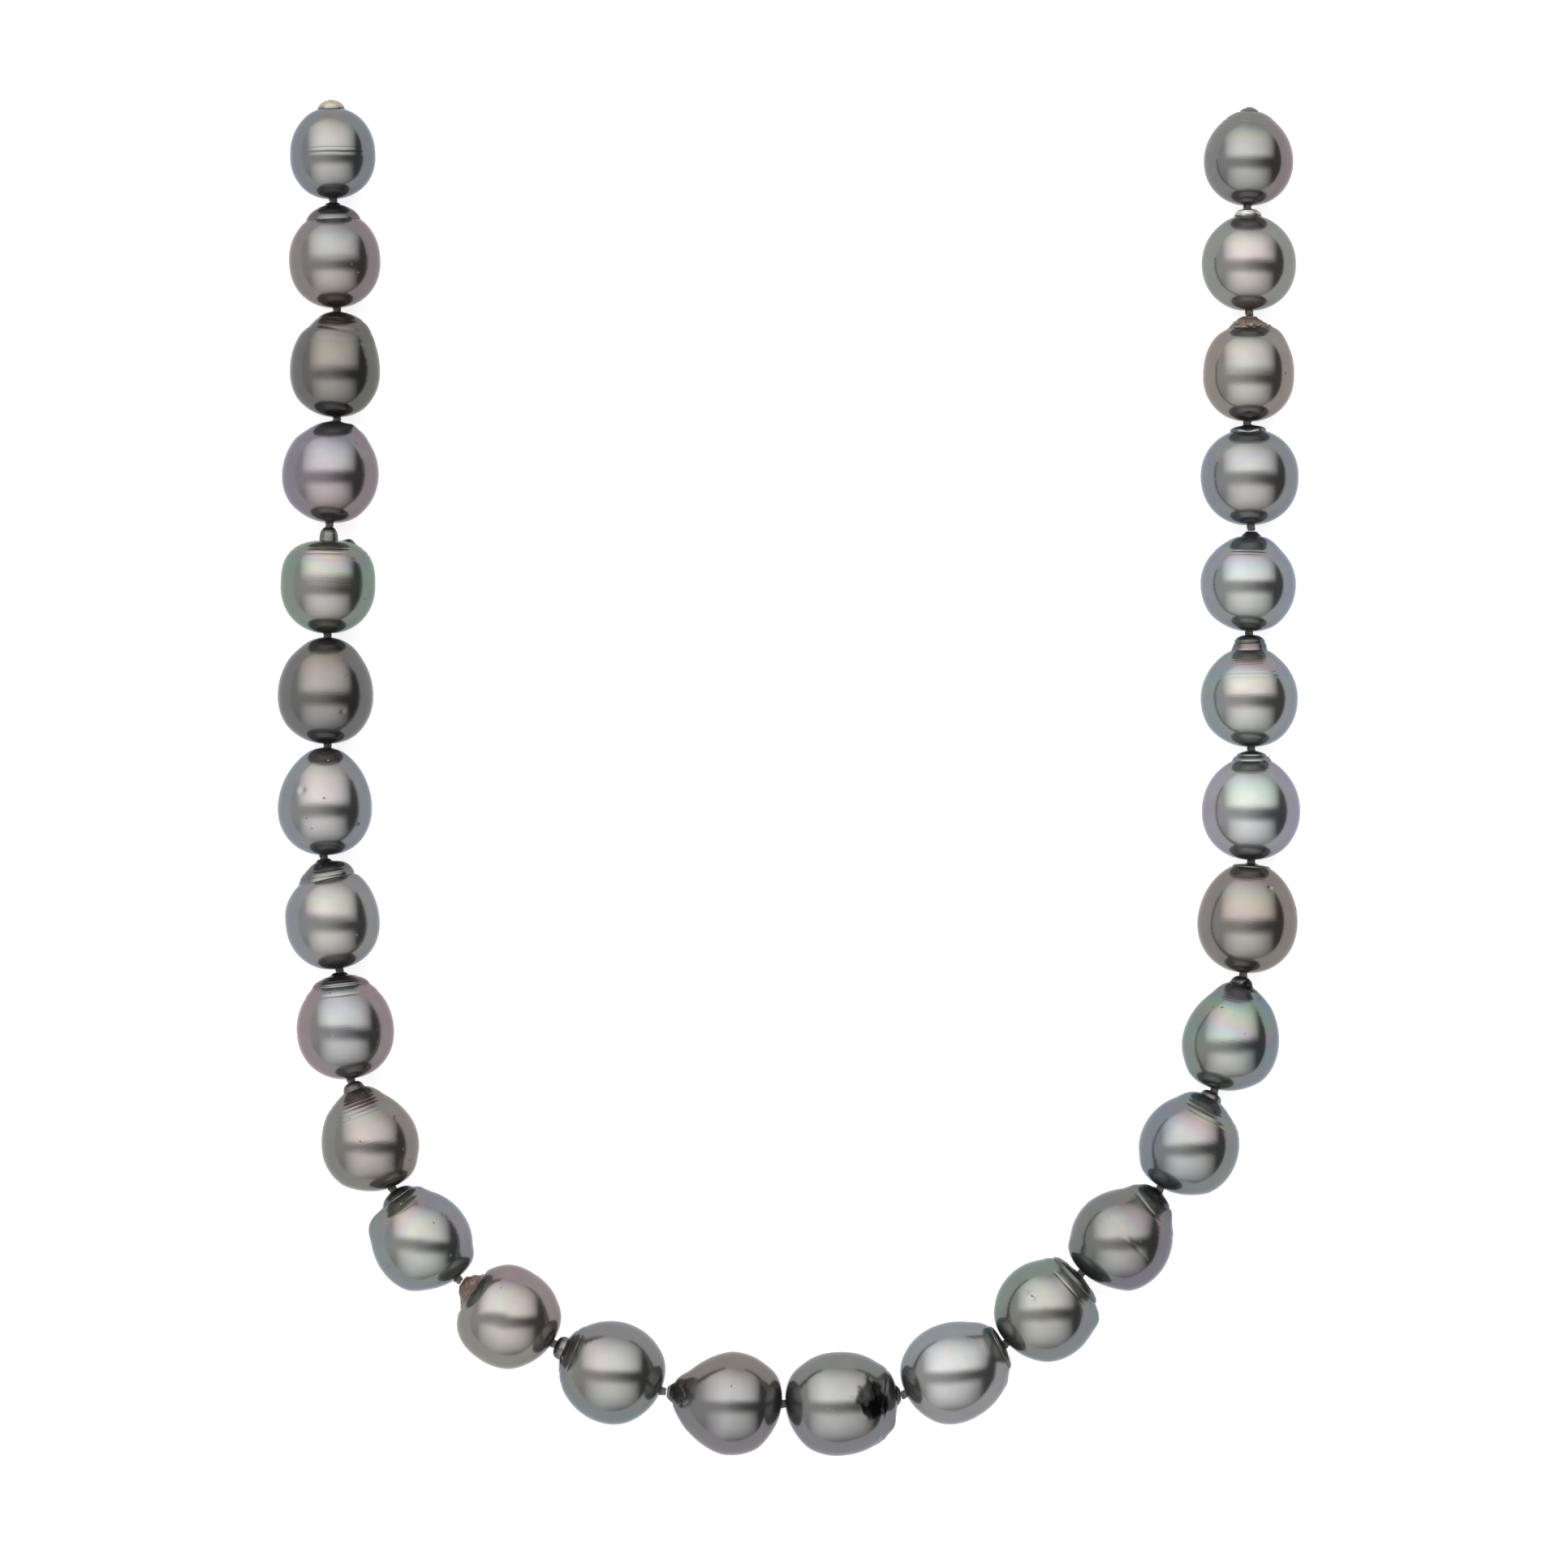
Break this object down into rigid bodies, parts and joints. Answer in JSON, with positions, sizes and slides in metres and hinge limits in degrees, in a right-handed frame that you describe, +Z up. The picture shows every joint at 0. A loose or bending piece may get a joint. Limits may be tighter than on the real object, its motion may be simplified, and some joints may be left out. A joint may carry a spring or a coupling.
{
  "type": "pearl necklace strand",
  "caption": "Open-ended strand of graded grey baroque drop pearls, knotted on silk and laid in a U, tips turned towards its two ends.",
  "frame": {"origin": "centre of the strand's bounding box, on the surface that the pearls lie on", "axes": "+Z up from that surface; +Y towards the strand's two open ends, away from the bottom of the U; +X towards the right arm"},
  "size_m": [0.1362, 0.1802, 0.014],
  "materials": {
    "pearl_01_nacre": "lustrous",
    "pearl_02_nacre": "lustrous",
    "pearl_03_nacre": "lustrous",
    "pearl_04_nacre": "lustrous",
    "pearl_05_nacre": "lustrous",
    "pearl_06_nacre": "lustrous",
    "pearl_07_nacre": "lustrous",
    "pearl_08_nacre": "lustrous",
    "pearl_09_nacre": "lustrous",
    "pearl_10_nacre": "lustrous",
    "pearl_11_nacre": "lustrous",
    "pearl_12_nacre": "lustrous",
    "pearl_13_nacre": "lustrous",
    "pearl_14_nacre": "lustrous",
    "pearl_15_nacre": "lustrous",
    "pearl_16_nacre": "lustrous",
    "pearl_17_nacre": "lustrous",
    "pearl_18_nacre": "lustrous",
    "pearl_19_nacre": "lustrous",
    "pearl_20_nacre": "lustrous",
    "pearl_21_nacre": "lustrous",
    "pearl_22_nacre": "lustrous",
    "pearl_23_nacre": "lustrous",
    "pearl_24_nacre": "lustrous",
    "pearl_25_nacre": "lustrous",
    "pearl_26_nacre": "lustrous",
    "pearl_27_nacre": "lustrous",
    "pearl_28_nacre": "lustrous",
    "knot_silk": "matte",
    "thread_silk": "matte"
  },
  "bodies": {
    "pearl_01": {"pearl_01": "pearl_01_nacre", "end_knot_left": "knot_silk"},
    "pearl_02": {"pearl_02": "pearl_02_nacre"},
    "pearl_03": {"pearl_03": "pearl_03_nacre"},
    "pearl_04": {"pearl_04": "pearl_04_nacre"},
    "pearl_05": {"pearl_05": "pearl_05_nacre", "thread_left": "thread_silk"},
    "pearl_06": {"pearl_06": "pearl_06_nacre"},
    "pearl_07": {"pearl_07": "pearl_07_nacre"},
    "pearl_08": {"pearl_08": "pearl_08_nacre"},
    "pearl_09": {"pearl_09": "pearl_09_nacre"},
    "pearl_10": {"pearl_10": "pearl_10_nacre"},
    "pearl_11": {"pearl_11": "pearl_11_nacre"},
    "pearl_12": {"pearl_12": "pearl_12_nacre"},
    "pearl_13": {"pearl_13": "pearl_13_nacre"},
    "pearl_14": {"pearl_14": "pearl_14_nacre", "thread_middle": "thread_silk"},
    "pearl_15": {"pearl_15": "pearl_15_nacre"},
    "pearl_16": {"pearl_16": "pearl_16_nacre"},
    "pearl_17": {"pearl_17": "pearl_17_nacre"},
    "pearl_18": {"pearl_18": "pearl_18_nacre"},
    "pearl_19": {"pearl_19": "pearl_19_nacre"},
    "pearl_20": {"pearl_20": "pearl_20_nacre"},
    "pearl_21": {"pearl_21": "pearl_21_nacre"},
    "pearl_22": {"pearl_22": "pearl_22_nacre"},
    "pearl_23": {"pearl_23": "pearl_23_nacre"},
    "pearl_24": {"pearl_24": "pearl_24_nacre", "thread_right": "thread_silk"},
    "pearl_25": {"pearl_25": "pearl_25_nacre"},
    "pearl_26": {"pearl_26": "pearl_26_nacre"},
    "pearl_27": {"pearl_27": "pearl_27_nacre"},
    "pearl_28": {"pearl_28": "pearl_28_nacre", "end_knot_right": "knot_silk"},
    "knot_01": {"knot_01": "knot_silk"},
    "knot_02": {"knot_02": "knot_silk"},
    "knot_03": {"knot_03": "knot_silk"},
    "knot_04": {"knot_04": "knot_silk"},
    "knot_05": {"knot_05": "knot_silk"},
    "knot_06": {"knot_06": "knot_silk"},
    "knot_07": {"knot_07": "knot_silk"},
    "knot_08": {"knot_08": "knot_silk"},
    "knot_09": {"knot_09": "knot_silk"},
    "knot_10": {"knot_10": "knot_silk"},
    "knot_11": {"knot_11": "knot_silk"},
    "knot_12": {"knot_12": "knot_silk"},
    "knot_13": {"knot_13": "knot_silk"},
    "knot_14": {"knot_14": "knot_silk"},
    "knot_15": {"knot_15": "knot_silk"},
    "knot_16": {"knot_16": "knot_silk"},
    "knot_17": {"knot_17": "knot_silk"},
    "knot_18": {"knot_18": "knot_silk"},
    "knot_19": {"knot_19": "knot_silk"},
    "knot_20": {"knot_20": "knot_silk"},
    "knot_21": {"knot_21": "knot_silk"},
    "knot_22": {"knot_22": "knot_silk"},
    "knot_23": {"knot_23": "knot_silk"},
    "knot_24": {"knot_24": "knot_silk"},
    "knot_25": {"knot_25": "knot_silk"},
    "knot_26": {"knot_26": "knot_silk"},
    "knot_27": {"knot_27": "knot_silk"}
  },
  "joints": [
    {"name": "swing_01", "type": "hinge", "parent": "pearl_02", "child": "knot_01", "pos_m": [-0.06079, 0.0764, 0.00608], "axis": [0, 0, 1], "range_deg": [-23, 25]},
    {"name": "lift_01", "type": "hinge", "parent": "knot_01", "child": "pearl_01", "pos_m": [-0.06079, 0.0764, 0.00608], "axis": [0.9998, 0.0175, 0], "range_deg": [-12, 12]},
    {"name": "swing_02", "type": "hinge", "parent": "pearl_03", "child": "knot_02", "pos_m": [-0.06029, 0.06189, 0.00623], "axis": [0, 0, -1], "range_deg": [-22, 26]},
    {"name": "lift_02", "type": "hinge", "parent": "knot_02", "child": "pearl_02", "pos_m": [-0.06029, 0.06189, 0.00623], "axis": [-0.9994, -0.0349, 0], "range_deg": [-12, 12]},
    {"name": "swing_03", "type": "hinge", "parent": "pearl_04", "child": "knot_03", "pos_m": [-0.06029, 0.04734, 0.0064], "axis": [0, 0, 1], "range_deg": [-28, 20]},
    {"name": "lift_03", "type": "hinge", "parent": "knot_03", "child": "pearl_03", "pos_m": [-0.06029, 0.04734, 0.0064], "axis": [-1, 0, 0], "range_deg": [-12, 12]},
    {"name": "swing_04", "type": "hinge", "parent": "pearl_05", "child": "knot_04", "pos_m": [-0.06127, 0.03327, 0.00655], "axis": [0, 0, -1], "range_deg": [-27, 21], "deforming": ["thread_left"]},
    {"name": "lift_04", "type": "hinge", "parent": "knot_04", "child": "pearl_04", "pos_m": [-0.06127, 0.03327, 0.00655], "axis": [0.9976, -0.0698, 0], "range_deg": [-12, 12]},
    {"name": "swing_05", "type": "hinge", "parent": "pearl_06", "child": "knot_05", "pos_m": [-0.06153, 0.01853, 0.00652], "axis": [0, 0, 1], "range_deg": [-23, 25]},
    {"name": "lift_05", "type": "hinge", "parent": "knot_05", "child": "pearl_05", "pos_m": [-0.06153, 0.01853, 0.00652], "axis": [0.9998, -0.0175, 0], "range_deg": [-12, 12]},
    {"name": "swing_06", "type": "hinge", "parent": "pearl_07", "child": "knot_06", "pos_m": [-0.06153, 0.00384, 0.00652], "axis": [0, 0, -1], "range_deg": [-22, 26]},
    {"name": "lift_06", "type": "hinge", "parent": "knot_06", "child": "pearl_06", "pos_m": [-0.06153, 0.00384, 0.00652], "axis": [-1, 0, 0], "range_deg": [-12, 12]},
    {"name": "swing_07", "type": "hinge", "parent": "pearl_08", "child": "knot_07", "pos_m": [-0.06205, -0.01098, 0.00646], "axis": [0, 0, 1], "range_deg": [-14, 34]},
    {"name": "lift_07", "type": "hinge", "parent": "knot_07", "child": "pearl_07", "pos_m": [-0.06205, -0.01098, 0.00646], "axis": [-0.9994, 0.0349, 0], "range_deg": [-12, 12]},
    {"name": "swing_08", "type": "hinge", "parent": "pearl_09", "child": "knot_08", "pos_m": [-0.05992, -0.0261, 0.00656], "axis": [0, 0, -1], "range_deg": [-22, 26]},
    {"name": "lift_08", "type": "hinge", "parent": "knot_08", "child": "pearl_08", "pos_m": [-0.05992, -0.0261, 0.00656], "axis": [0.9903, 0.1392, 0], "range_deg": [-12, 12]},
    {"name": "swing_09", "type": "hinge", "parent": "pearl_10", "child": "knot_09", "pos_m": [-0.05838, -0.04073, 0.00668], "axis": [0, 0, 1], "range_deg": [-9, 39]},
    {"name": "lift_09", "type": "hinge", "parent": "knot_09", "child": "pearl_09", "pos_m": [-0.05838, -0.04073, 0.00668], "axis": [0.9945, 0.1045, 0], "range_deg": [-12, 12]},
    {"name": "swing_10", "type": "hinge", "parent": "pearl_11", "child": "knot_10", "pos_m": [-0.05284, -0.05516, 0.00673], "axis": [0, 0, -1], "range_deg": [-39, 9]},
    {"name": "lift_10", "type": "hinge", "parent": "knot_10", "child": "pearl_10", "pos_m": [-0.05284, -0.05516, 0.00673], "axis": [-0.9336, -0.3584, 0], "range_deg": [-12, 12]},
    {"name": "swing_11", "type": "hinge", "parent": "pearl_12", "child": "knot_11", "pos_m": [-0.04408, -0.06722, 0.00685], "axis": [0, 0, 1], "range_deg": [-4, 44]},
    {"name": "lift_11", "type": "hinge", "parent": "knot_11", "child": "pearl_11", "pos_m": [-0.04408, -0.06722, 0.00685], "axis": [-0.809, -0.5878, 0], "range_deg": [-12, 12]},
    {"name": "swing_12", "type": "hinge", "parent": "pearl_13", "child": "knot_12", "pos_m": [-0.03136, -0.0758, 0.00697], "axis": [0, 0, -1], "range_deg": [-34.5, 13.5]},
    {"name": "lift_12", "type": "hinge", "parent": "knot_12", "child": "pearl_12", "pos_m": [-0.03136, -0.0758, 0.00697], "axis": [0.5592, 0.829, 0], "range_deg": [-12, 12]},
    {"name": "swing_13", "type": "hinge", "parent": "pearl_14", "child": "knot_13", "pos_m": [-0.01689, -0.08209, 0.00704], "axis": [0, 0, 1], "range_deg": [-6.5, 41.5]},
    {"name": "lift_13", "type": "hinge", "parent": "knot_13", "child": "pearl_13", "pos_m": [-0.01689, -0.08209, 0.00704], "axis": [0.3987, 0.9171, 0], "range_deg": [-12, 12]},
    {"name": "swing_14", "type": "hinge", "parent": "pearl_14", "child": "knot_14", "pos_m": [-0.00075, -0.08379, 0.00708], "axis": [0, 0, 1], "range_deg": [-32.5, 11.5], "deforming": ["thread_middle"]},
    {"name": "lift_14", "type": "hinge", "parent": "knot_14", "child": "pearl_15", "pos_m": [-0.00075, -0.08379, 0.00708], "axis": [0.0785, -0.9969, 0], "range_deg": [-12, 12]},
    {"name": "swing_15", "type": "hinge", "parent": "pearl_15", "child": "knot_15", "pos_m": [0.01533, -0.08252, 0.00697], "axis": [0, 0, -1], "range_deg": [-2, 46]},
    {"name": "lift_15", "type": "hinge", "parent": "knot_15", "child": "pearl_16", "pos_m": [0.01533, -0.08252, 0.00697], "axis": [0.4462, -0.8949, 0], "range_deg": [-12, 12]},
    {"name": "swing_16", "type": "hinge", "parent": "pearl_16", "child": "knot_16", "pos_m": [0.02883, -0.07579, 0.0069], "axis": [0, 0, 1], "range_deg": [-35.5, 2.5]},
    {"name": "lift_16", "type": "hinge", "parent": "knot_16", "child": "pearl_17", "pos_m": [0.02883, -0.07579, 0.0069], "axis": [-0.682, 0.7314, 0], "range_deg": [-12, 12]},
    {"name": "swing_17", "type": "hinge", "parent": "pearl_17", "child": "knot_17", "pos_m": [0.03888, -0.06642, 0.00692], "axis": [0, 0, -1], "range_deg": [-14, 22]},
    {"name": "lift_17", "type": "hinge", "parent": "knot_17", "child": "pearl_18", "pos_m": [0.03888, -0.06642, 0.00692], "axis": [-0.7314, 0.682, 0], "range_deg": [-12, 12]},
    {"name": "swing_18", "type": "hinge", "parent": "pearl_18", "child": "knot_18", "pos_m": [0.04938, -0.05516, 0.00685], "axis": [0, 0, 1], "range_deg": [-38, 10]},
    {"name": "lift_18", "type": "hinge", "parent": "knot_18", "child": "pearl_19", "pos_m": [0.04938, -0.05516, 0.00685], "axis": [0.8746, -0.4848, 0], "range_deg": [-12, 12]},
    {"name": "swing_19", "type": "hinge", "parent": "pearl_19", "child": "knot_19", "pos_m": [0.05664, -0.04207, 0.00671], "axis": [0, 0, -1], "range_deg": [-9, 39]},
    {"name": "lift_19", "type": "hinge", "parent": "knot_19", "child": "pearl_20", "pos_m": [0.05664, -0.04207, 0.00671], "axis": [0.9703, -0.2419, 0], "range_deg": [-12, 12]},
    {"name": "swing_20", "type": "hinge", "parent": "pearl_20", "child": "knot_20", "pos_m": [0.06049, -0.02663, 0.00673], "axis": [0, 0, 1], "range_deg": [-34, 14]},
    {"name": "lift_20", "type": "hinge", "parent": "knot_20", "child": "pearl_21", "pos_m": [0.06049, -0.02663, 0.00673], "axis": [-0.9976, 0.0698, 0], "range_deg": [-12, 12]},
    {"name": "swing_21", "type": "hinge", "parent": "pearl_21", "child": "knot_21", "pos_m": [0.06154, -0.0116, 0.00679], "axis": [0, 0, -1], "range_deg": [-16, 24]},
    {"name": "lift_21", "type": "hinge", "parent": "knot_21", "child": "pearl_22", "pos_m": [0.06154, -0.0116, 0.00679], "axis": [-1, 0, 0], "range_deg": [-12, 12]},
    {"name": "swing_22", "type": "hinge", "parent": "pearl_22", "child": "knot_22", "pos_m": [0.06154, 0.00343, 0.00669], "axis": [0, 0, 1], "range_deg": [-25, 23]},
    {"name": "lift_22", "type": "hinge", "parent": "knot_22", "child": "pearl_23", "pos_m": [0.06154, 0.00343, 0.00669], "axis": [0.9998, 0.0175, 0], "range_deg": [-12, 12]},
    {"name": "swing_23", "type": "hinge", "parent": "pearl_23", "child": "knot_23", "pos_m": [0.06127, 0.01881, 0.0066], "axis": [0, 0, -1], "range_deg": [-26, 22]},
    {"name": "lift_23", "type": "hinge", "parent": "knot_23", "child": "pearl_24", "pos_m": [0.06127, 0.01881, 0.0066], "axis": [0.9998, -0.0175, 0], "range_deg": [-12, 12]},
    {"name": "swing_24", "type": "hinge", "parent": "pearl_24", "child": "knot_24", "pos_m": [0.06152, 0.03296, 0.00662], "axis": [0, 0, 1], "range_deg": [-27, 21], "deforming": ["thread_right"]},
    {"name": "lift_24", "type": "hinge", "parent": "knot_24", "child": "pearl_25", "pos_m": [0.06152, 0.03296, 0.00662], "axis": [-0.9994, -0.0349, 0], "range_deg": [-12, 12]},
    {"name": "swing_25", "type": "hinge", "parent": "pearl_25", "child": "knot_25", "pos_m": [0.06103, 0.04675, 0.00648], "axis": [0, 0, -1], "range_deg": [-25, 19]},
    {"name": "lift_25", "type": "hinge", "parent": "knot_25", "child": "pearl_26", "pos_m": [0.06103, 0.04675, 0.00648], "axis": [-0.9998, 0.0175, 0], "range_deg": [-12, 12]},
    {"name": "swing_26", "type": "hinge", "parent": "pearl_26", "child": "knot_26", "pos_m": [0.06129, 0.0615, 0.00636], "axis": [0, 0, 1], "range_deg": [-26, 22]},
    {"name": "lift_26", "type": "hinge", "parent": "knot_26", "child": "pearl_27", "pos_m": [0.06129, 0.0615, 0.00636], "axis": [0.9998, 0.0175, 0], "range_deg": [-12, 12]},
    {"name": "swing_27", "type": "hinge", "parent": "pearl_27", "child": "knot_27", "pos_m": [0.06105, 0.07551, 0.00631], "axis": [0, 0, -1], "range_deg": [-26, 22]},
    {"name": "lift_27", "type": "hinge", "parent": "knot_27", "child": "pearl_28", "pos_m": [0.06105, 0.07551, 0.00631], "axis": [0.9998, -0.0175, 0], "range_deg": [-12, 12]}
  ]
}
